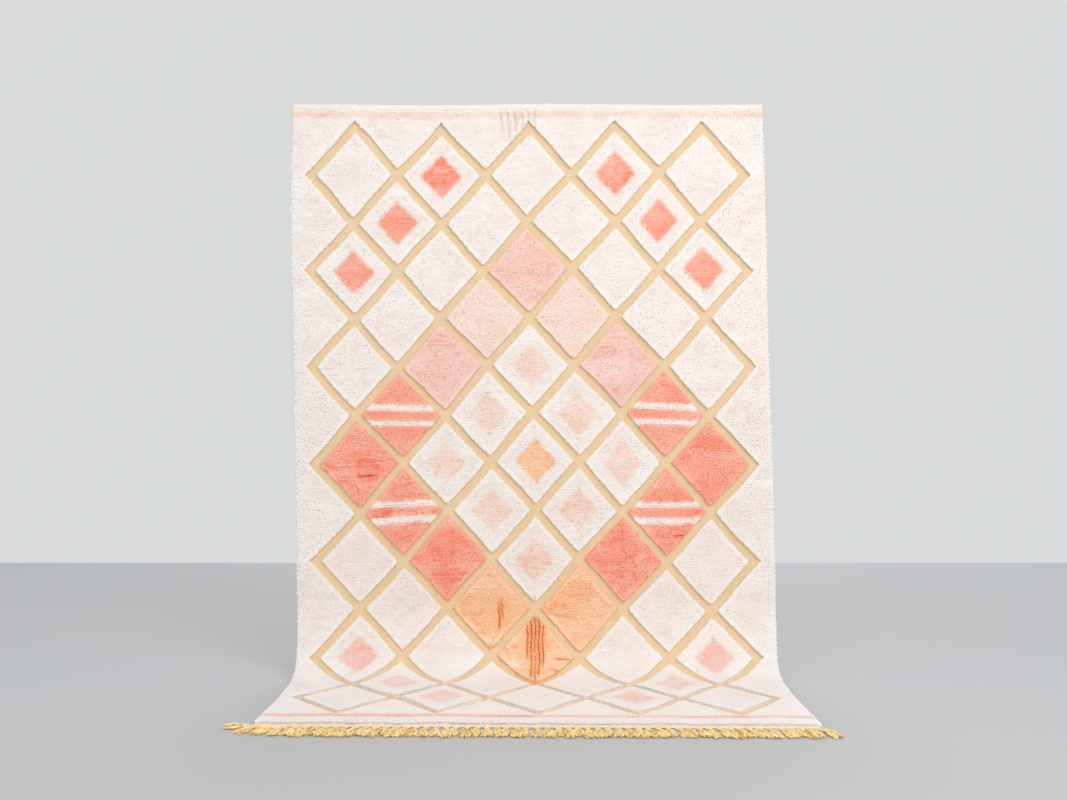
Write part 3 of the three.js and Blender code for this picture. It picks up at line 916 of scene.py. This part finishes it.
tassel = np.arange(TASSELS)
yarn_draw = np.random.default_rng(23)
tassel_turn = np.interp(tassel, LEAN["tassel"], LEAN["turn"]) + SWAY["turn"] * np.sin(SWAY["pace"] * tassel)
tassel_turn = np.radians(tassel_turn + SWAY["stray"] * yarn_draw.uniform(-1, 1, TASSELS))
cut_short = REACH["stray"] * yarn_draw.uniform(0, 1, TASSELS)
tassel_reach = 1 + REACH["share"] * np.sin(REACH["pace"] * tassel) - cut_short
tassel_bush = 1 + BUSHY_STRAY * yarn_draw.uniform(-1, 1, TASSELS)
tassel_roots = (edge_length - 2 * END_MARGIN) * (tassel / (TASSELS - 1) - 0.5)
TASSEL_AHEAD = np.stack([np.sin(tassel_turn), -np.cos(tassel_turn), 0 * tassel_turn], axis=1)
TASSEL_ASIDE = np.stack([np.cos(tassel_turn), np.sin(tassel_turn), 0 * tassel_turn], axis=1)
TASSEL_START = np.stack([tassel_roots, 0 * tassel_roots - GAP - HEADING["depth"], 0 * tassel_roots], axis=1)


def on_tassels(along, aside, height):
    """Places on every tassel, each array with a row for each tassel: how far along it, aside and up."""
    extra = (1,) * (along.ndim - 1)
    start, way, side = (
        rows.reshape(TASSELS, *extra, 3) for rows in (TASSEL_START, TASSEL_AHEAD, TASSEL_ASIDE)
    )
    flat = start + along[..., None] * way + aside[..., None] * side
    return flat + height[..., None] * np.array(UP)


def yarn_colours(shares, count):
    """Colours of count yarns, drawn from the dyes by their shares."""
    palette = np.array([linear(FRINGE_DYES[name]) for name in shares])
    colours = palette[yarn_draw.choice(len(palette), count, p=list(shares.values()))]
    colours[:, :3] *= yarn_draw.uniform(*YARN_SHADE, (count, 1))
    return np.clip(colours, 0, 1)


def twined_heading():
    """Two rows of two yarns twined round each other, along the rug's lower edge."""
    end = edge_length / 2 - HEADING["from_end"]
    along = np.arange(-end, end + 1, HEADING["step"])
    yarns = []
    for row in HEADING["rows"]:
        for ply in (0, np.pi):
            angle = along / HEADING["twist"] * 2 * np.pi + ply + row["start"]
            forward = row["at"] - GAP + HEADING["out"] * np.cos(angle)
            height = HEADING["height"] + HEADING["up"] * np.sin(angle)
            yarns.append(np.stack([along, forward, height], axis=1))
    yarns = np.array(yarns)
    size = np.full(yarns.shape[:2], HEADING["yarn"])
    dyes = yarn_colours(HEADING["dyes"], len(yarns))
    return strands("fringe_heading", yarns, size, size, sides=5, upright=UP, colours=dyes)


def plied_cords():
    """Four cords to each tassel, spread out at the heading and drawn together at the knot."""
    share = np.linspace(0, 1, CORD["steps"])
    shape = (TASSELS, len(CORD["fan"]), 1)
    fan = np.reshape(CORD["fan"], (1, -1, 1)) + yarn_draw.uniform(-CORD["stray"], CORD["stray"], shape)
    closing = 1 - (1 - CORD["meet"]) * smooth_step(share, *CORD["closing"])
    wave = CORD["wave"] * np.sin(CORD["waves"] * share + yarn_draw.uniform(0, CORD["start"], shape))
    arch = yarn_draw.uniform(*CORD["arch"], shape) * np.sin(np.pi * share)
    along = np.broadcast_to(CORD["from"] + (CORD["to"] - CORD["from"]) * share, wave.shape)
    cords = on_tassels(along, fan * closing + wave, CORD["height"] * CORD["yarn"] + arch)
    cords = cords.reshape(-1, CORD["steps"], 3)
    ply = 1 + CORD["ply"] * (-1.0) ** np.arange(CORD["steps"])
    size = CORD["yarn"] * ply * yarn_draw.uniform(*CORD["girth"], (len(cords), 1))
    dyes = yarn_colours(CORD["dyes"], len(cords))
    return strands("fringe_cords", cords, size, size, sides=5, upright=UP, colours=dyes)


def tied_knots():
    """One thick strand to each tassel, wound round the end of its cords."""
    share = np.linspace(0, 1, KNOT["steps"])
    angle = 2 * np.pi * KNOT["turns"] * share + yarn_draw.uniform(0, KNOT["start"], (TASSELS, 1))
    along = KNOT["from"] + (KNOT["to"] - KNOT["from"]) * share + KNOT["slant"] * np.sin(2 * angle)
    height = KNOT["up"] + KNOT["yarn"] + KNOT["up"] * np.sin(angle)
    windings = on_tassels(along, KNOT["across"] * np.cos(angle), height)
    size = np.full(windings.shape[:2], KNOT["yarn"])
    dyes = yarn_colours(KNOT["dyes"], TASSELS)
    return strands("fringe_knots", windings, size, size, sides=6, upright=UP, colours=dyes)


def loose_yarn(name, yarns):
    """Yarns that open out of each knot, curl and lie on the floor and on each other."""
    share = np.linspace(0, 1, yarns["steps"])
    shape = (TASSELS, yarns["count"], 1)
    length = (yarns["to"] - yarns["from"]) * yarn_draw.uniform(LOOSE["shortest"], 1, shape)
    length = length * tassel_reach.reshape(-1, 1, 1)
    aim = yarn_draw.uniform(-1, 1, shape)
    start, curls = yarn_draw.uniform(0, LOOSE["start"], shape), yarn_draw.uniform(*LOOSE["curls"], shape)
    opened = smooth_step(share, 0, LOOSE["open_at"])
    shuffle = LOOSE["shuffle"] * opened * np.sin(2 * np.pi * LOOSE["shuffles"] * share + 3 * start)
    along = yarns["from"] + length * share + shuffle
    curl = yarns["curl"] * np.sin(2 * np.pi * curls * share + start)
    aside = opened * (aim * yarns["spread"] * tassel_bush.reshape(-1, 1, 1) + curl)
    layer = yarn_draw.uniform(0, 1, shape) * (1 - LOOSE["flank"] * aim ** 2)
    arch = np.sin(np.pi * (LOOSE["rise_from"] + LOOSE["rise_run"] * share)) ** LOOSE["round"]
    ripples = 2 * np.pi * (curls + LOOSE["more_ripples"]) * share + 2 * start
    lowest = LOOSE["height"] * yarns["yarn"]
    height = lowest + layer * LOOSE["heap"] * arch + LOOSE["ripple"] * opened * np.sin(ripples)
    paths = on_tassels(along, aside, np.maximum(height, lowest)).reshape(-1, yarns["steps"], 3)
    size = yarns["yarn"] * np.append(np.ones(yarns["steps"] - 1), 0)
    size = size * yarn_draw.uniform(*LOOSE["girth"], (len(paths), 1))
    dyes = yarn_colours(yarns["dyes"], len(paths))
    return strands(name, paths, size, size, sides=4, upright=UP, colours=dyes)


# Loosely spun yarn, dyed golden: even in colour where it is plied; where it is brushed, shade is painted
# browner towards the knot
plied_yarn = spun_wool("plied golden wool", sheen=0.2, fibre_mm=1.2, hairy=0.2, painted_root_shade=1)
brushed_yarn = spun_wool("brushed golden wool", sheen=0.2, fibre_mm=1.2, hairy=0.2, painted_root_shade=1.5)
fringe_meshes = [
    [twined_heading(), plied_yarn],
    [plied_cords(), plied_yarn],
    [tied_knots(), plied_yarn],
    [loose_yarn("fringe_brushes", BRUSH), brushed_yarn],
    [loose_yarn("fringe_fuzz", FUZZ), brushed_yarn],
]
for fringe_mesh, fringe_yarn in fringe_meshes:
    fringe_piece = laid(new_piece(fringe_mesh.name, fringe_mesh, fringe_yarn), along_edge)
    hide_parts("fringe")

# Floor, light and camera
# A plain pale floor that ends where the photograph's wall stands, soft light from the upper right, and the
# camera as the photograph was taken.
CAMERA = {"away": 4.19, "height": 1.0, "tilt": 1.9, "lens": 33.74, "sensor": 36}
WALL_AWAY = 7.75
FLOOR_WIDTH, FLOOR_DEPTH = 18, 15
LIGHTS = [
    {"name": "soft key", "size": 3.8, "watts": 134, "at": (3.2, -4.6, 4.2)},
    {"name": "broad fill", "size": 4.5, "watts": 80, "at": (-1.4, -5.6, 3.2)},
    {"name": "back fill", "size": 6.0, "watts": 160, "at": (0.9, 7.4, 4.8)},
]
LIT_POINT = (0, 0.3, 1.2)
scene = bpy.context.scene

floor_mesh = bmesh.new()
bmesh.ops.create_grid(floor_mesh, x_segments=1, y_segments=1, size=0.5)
bmesh.ops.scale(floor_mesh, verts=floor_mesh.verts, vec=(FLOOR_WIDTH, FLOOR_DEPTH, 1))
floor_end = PLACE[1] - CAMERA["away"] + WALL_AWAY
bmesh.ops.translate(floor_mesh, verts=floor_mesh.verts, vec=(0, floor_end - FLOOR_DEPTH / 2, 0))
floor_data = bpy.data.meshes.new("floor")
floor_mesh.to_mesh(floor_data)
floor_mesh.free()
floor = bpy.data.objects.new("floor", floor_data)
scene.collection.objects.link(floor)
floor_paint = bpy.data.materials.new("pale floor")
floor_paint.use_nodes = True
floor_shader = floor_paint.node_tree.nodes["Principled BSDF"]
floor_shader.inputs["Base Color"].default_value = linear("#c3c4c6")
floor_shader.inputs["Roughness"].default_value = 0.8
floor_shader.inputs["Specular IOR Level"].default_value = 0.2
floor_data.materials.append(floor_paint)

world = bpy.data.worlds.new("pale room")
scene.world = world
world.use_nodes = True
room_light = world.node_tree.nodes["Background"]
room_light.inputs["Color"].default_value = linear("#d8dadb")
room_light.inputs["Strength"].default_value = 1

for light in LIGHTS:
    lamp = bpy.data.lights.new(light["name"], "AREA")
    lamp.size = light["size"]
    lamp.energy = light["watts"]
    stand = bpy.data.objects.new(light["name"], lamp)
    stand.location = light["at"]
    stand.rotation_mode = "QUATERNION"
    stand.rotation_quaternion = (Vector(LIT_POINT) - stand.location).to_track_quat("-Z", "Y")
    stand.visible_camera = False
    scene.collection.objects.link(stand)

camera_data = bpy.data.cameras.new("camera")
camera_data.sensor_width = CAMERA["sensor"]
camera_data.lens = CAMERA["lens"]
camera = bpy.data.objects.new("camera", camera_data)
camera.location = (PLACE[0], PLACE[1] - CAMERA["away"], CAMERA["height"])
camera.rotation_euler = (math.radians(90 + CAMERA["tilt"]), 0, 0)
scene.collection.objects.link(camera)
scene.camera = camera
scene.view_settings.view_transform = "Standard"
